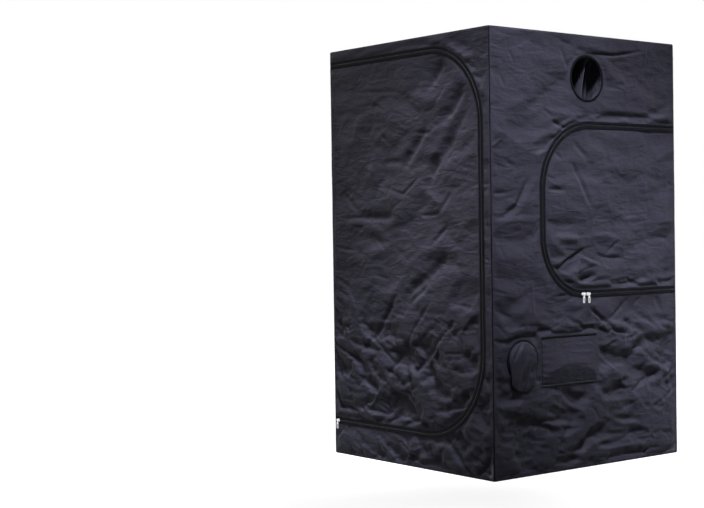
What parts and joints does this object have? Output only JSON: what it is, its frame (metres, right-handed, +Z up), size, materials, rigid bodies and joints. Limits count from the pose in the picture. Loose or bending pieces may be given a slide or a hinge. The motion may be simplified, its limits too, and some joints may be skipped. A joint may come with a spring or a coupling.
{
  "type": "indoor grow tent",
  "caption": "Tall square fabric tent on a push-fit tube frame, with a zipped front door, a zipped side window, two duct ports, a flapped vent and sliding hanging bars.",
  "frame": {"origin": "on the ground, in the middle of the tent's square base", "axes": "+Z up; the front, with the door, faces -Y; the service side, with window, ports and vent, faces +X"},
  "size_m": [1.2907, 1.2089, 2],
  "materials": {
    "wall_cloth": "crinkled coated oxford cloth, black outside",
    "binding_tape": "matt black webbing",
    "zip_tape": "matt black zip tape and coil",
    "steel_tube": "white powder coat",
    "black_plastic": "moulded",
    "zinc": "plated die-cast zinc",
    "net_yarn": "woven net",
    "tray_cloth": "silver coated cloth"
  },
  "bodies": {
    "tent": {"floor_connector_front_left": "black_plastic", "floor_connector_front_right": "black_plastic", "floor_connector_back_left": "black_plastic", "floor_connector_back_right": "black_plastic", "roof_connector_front_left": "black_plastic", "roof_connector_front_right": "black_plastic", "roof_connector_back_left": "black_plastic", "roof_connector_back_right": "black_plastic", "floor_rail_front": "steel_tube", "floor_rail_back": "steel_tube", "floor_rail_left": "steel_tube", "floor_rail_right": "steel_tube", "roof_rail_front": "steel_tube", "roof_rail_back": "steel_tube", "roof_rail_left": "steel_tube", "roof_rail_right": "steel_tube", "lower_upright_front_left": "steel_tube", "lower_upright_front_right": "steel_tube", "lower_upright_back_left": "steel_tube", "lower_upright_back_right": "steel_tube", "upper_upright_front_left": "steel_tube", "upper_upright_front_right": "steel_tube", "upper_upright_back_left": "steel_tube", "upper_upright_back_right": "steel_tube", "edge_binding": "binding_tape", "roof_panel": "wall_cloth", "floor_panel": "wall_cloth", "front_panel": "wall_cloth", "back_panel": "wall_cloth", "left_panel": "wall_cloth", "side_panel": "wall_cloth", "door_zip_wall_tape": "zip_tape", "window_zip_wall_tape": "zip_tape", "top_port_collar": "black_plastic", "low_port_collar": "black_plastic", "top_port_sleeve": "wall_cloth", "low_port_sleeve": "wall_cloth", "vent_net": "net_yarn", "vent_hem": "wall_cloth", "vent_loop_strip": "binding_tape", "spill_tray": "tray_cloth"},
    "door": {"door_panel": "wall_cloth", "door_zip_flap_tape": "zip_tape"},
    "door_slider": {"door_slider": "zinc"},
    "door_pull": {"door_pull": "zinc"},
    "window": {"window_panel": "wall_cloth", "window_zip_flap_tape": "zip_tape"},
    "window_left_slider": {"window_left_slider": "zinc"},
    "window_left_pull": {"window_left_pull": "zinc"},
    "window_right_slider": {"window_right_slider": "zinc"},
    "window_right_pull": {"window_right_pull": "zinc"},
    "vent_flap": {"vent_flap": "wall_cloth", "vent_hook_strip": "binding_tape"},
    "hanging_bar_front": {"hanging_bar_front": "steel_tube", "bar_hook_front_left": "black_plastic", "bar_hook_front_right": "black_plastic"},
    "hanging_bar_back": {"hanging_bar_back": "steel_tube", "bar_hook_back_left": "black_plastic", "bar_hook_back_right": "black_plastic"}
  },
  "joints": [
    {"name": "door_swing", "type": "hinge", "parent": "tent", "child": "door", "pos_m": [-0.5947, -0.6005, 1], "axis": [0, 0, -1], "range_deg": [0, 170]},
    {"name": "door_slider_travel", "type": "slide", "parent": "door", "child": "door_slider", "axis": [1, 0, 0], "range_m": [0, 0.69]},
    {"name": "door_pull_lift", "type": "hinge", "parent": "door_slider", "child": "door_pull", "pos_m": [-0.5727, -0.6064, 0.165], "axis": [-1, 0, 0], "range_deg": [0, 150]},
    {"name": "window_swing", "type": "hinge", "parent": "tent", "child": "window", "pos_m": [0.6005, 0.5947, 1.2], "axis": [0, 0, 1], "range_deg": [0, 170]},
    {"name": "window_left_slider_travel", "type": "hinge", "parent": "window", "child": "window_left_slider", "pos_m": [0.6, -0.019, 1.073], "axis": [-1, 0, 0], "range_deg": [0, 83]},
    {"name": "window_left_pull_lift", "type": "hinge", "parent": "window_left_slider", "child": "window_left_pull", "pos_m": [0.6064, -0.03798, 0.80367], "axis": [0, -0.9975, 0.0703], "range_deg": [0, 150]},
    {"name": "window_right_slider_travel", "type": "slide", "parent": "window", "child": "window_right_slider", "axis": [0, 1, 0], "range_m": [0, 0.575]},
    {"name": "window_right_pull_lift", "type": "hinge", "parent": "window_right_slider", "child": "window_right_pull", "pos_m": [0.6064, -0.006, 0.803], "axis": [0, -1, 0], "range_deg": [0, 150]},
    {"name": "vent_flap_fold", "type": "hinge", "parent": "tent", "child": "vent_flap", "pos_m": [0.6046, -0.134, 0.404], "axis": [0, 1, 0], "range_deg": [0, 165]},
    {"name": "hanging_bar_front_slide", "type": "slide", "parent": "tent", "child": "hanging_bar_front", "axis": [0, 1, 0], "range_m": [-0.15, 0.15]},
    {"name": "hanging_bar_back_slide", "type": "slide", "parent": "tent", "child": "hanging_bar_back", "axis": [0, 1, 0], "range_m": [-0.15, 0.15]}
  ]
}
